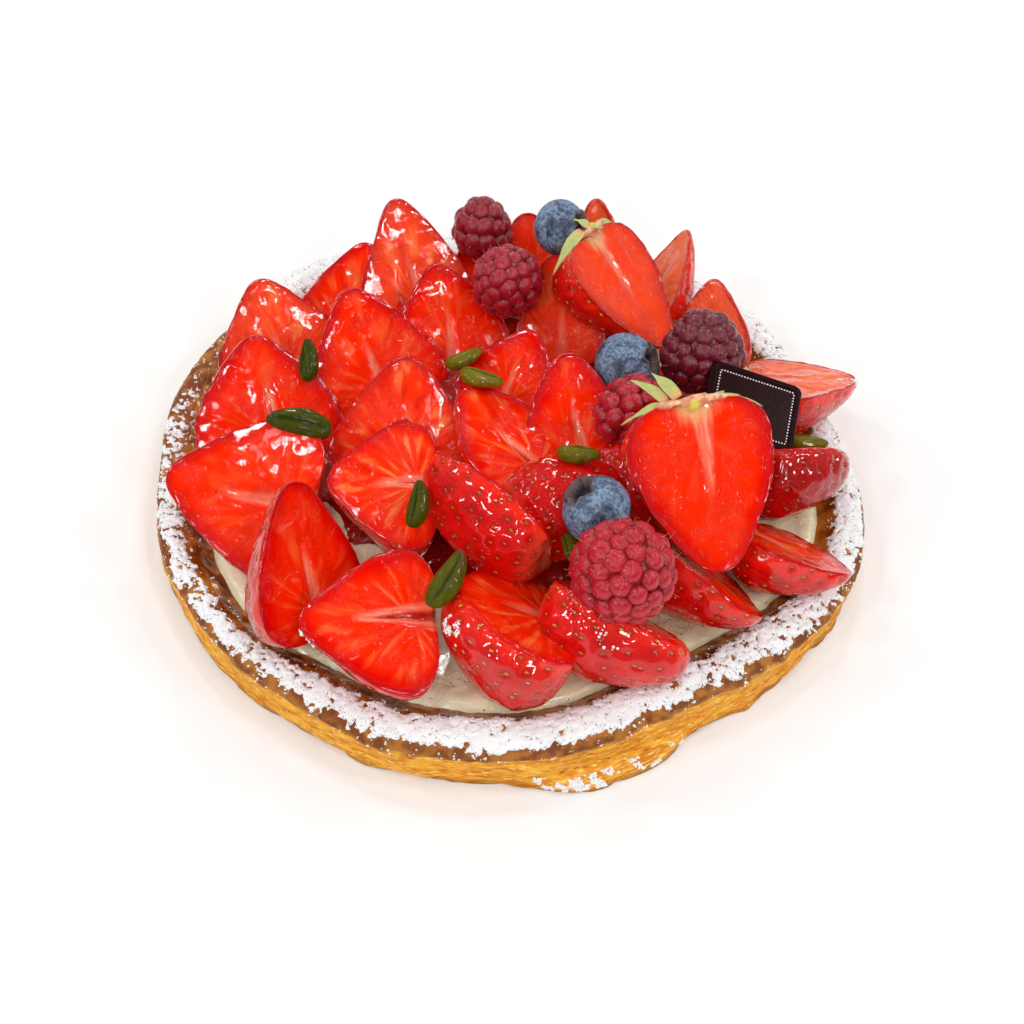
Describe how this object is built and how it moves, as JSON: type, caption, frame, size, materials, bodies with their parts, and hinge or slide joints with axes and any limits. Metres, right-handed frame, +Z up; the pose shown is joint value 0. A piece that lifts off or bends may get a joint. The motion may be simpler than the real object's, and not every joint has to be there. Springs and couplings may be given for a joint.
{
  "type": "strawberry tart",
  "caption": "Round puff-pastry tart case filled with vanilla custard and heaped with cut strawberries, raspberries, blueberries, pistachio kernels and a small chocolate plaque.",
  "frame": {"origin": "centre of the round, flat underside of the pastry case", "axes": "+Z up through the heap of fruit; -Y towards the front; +X towards the side with the chocolate plaque"},
  "size_m": [0.1804, 0.1819, 0.0538],
  "materials": {
    "baked_pastry": "matte, flaky, golden to brown, with baked-on icing sugar on the rim",
    "vanilla_custard": "smooth and slightly moist, ivory with fine vanilla specks",
    "strawberry_flesh": "wet and glazed; paler streaks on the cut faces, seeds on the skin",
    "raspberry_skin": "velvety drupelets under a thin glaze",
    "blueberry_skin": "satin with a pale grey-blue bloom",
    "pistachio_kernel": "satin, green with darker skin patches",
    "dark_chocolate": "satin dark brown with a printed white dotted border"
  },
  "bodies": {
    "root": {"pastry_case": "baked_pastry", "custard": "vanilla_custard", "strawberry_01": "strawberry_flesh", "strawberry_02": "strawberry_flesh", "strawberry_03": "strawberry_flesh", "strawberry_04": "strawberry_flesh", "strawberry_05": "strawberry_flesh", "strawberry_06": "strawberry_flesh", "strawberry_07": "strawberry_flesh", "strawberry_08": "strawberry_flesh", "strawberry_09": "strawberry_flesh", "strawberry_10": "strawberry_flesh", "strawberry_11": "strawberry_flesh", "strawberry_12": "strawberry_flesh", "strawberry_13": "strawberry_flesh", "strawberry_14": "strawberry_flesh", "strawberry_15": "strawberry_flesh", "strawberry_16": "strawberry_flesh", "strawberry_17": "strawberry_flesh", "strawberry_18": "strawberry_flesh", "strawberry_19": "strawberry_flesh", "strawberry_20": "strawberry_flesh", "strawberry_21": "strawberry_flesh", "strawberry_22": "strawberry_flesh", "strawberry_23": "strawberry_flesh", "strawberry_24": "strawberry_flesh", "strawberry_25": "strawberry_flesh", "strawberry_26": "strawberry_flesh", "strawberry_27": "strawberry_flesh", "strawberry_28": "strawberry_flesh", "strawberry_29": "strawberry_flesh", "strawberry_30": "strawberry_flesh", "strawberry_31": "strawberry_flesh", "strawberry_32": "strawberry_flesh", "strawberry_33": "strawberry_flesh", "strawberry_34": "strawberry_flesh", "strawberry_35": "strawberry_flesh", "raspberry_1": "raspberry_skin", "raspberry_2": "raspberry_skin", "raspberry_3": "raspberry_skin", "raspberry_4": "raspberry_skin", "raspberry_5": "raspberry_skin", "blueberry_1": "blueberry_skin", "blueberry_2": "blueberry_skin", "blueberry_3": "blueberry_skin", "pistachio_1": "pistachio_kernel", "pistachio_2": "pistachio_kernel", "pistachio_3": "pistachio_kernel", "pistachio_4": "pistachio_kernel", "pistachio_5": "pistachio_kernel", "pistachio_6": "pistachio_kernel", "pistachio_7": "pistachio_kernel", "pistachio_8": "pistachio_kernel", "pistachio_9": "pistachio_kernel", "chocolate_plaque": "dark_chocolate"}
  },
  "joints": []
}
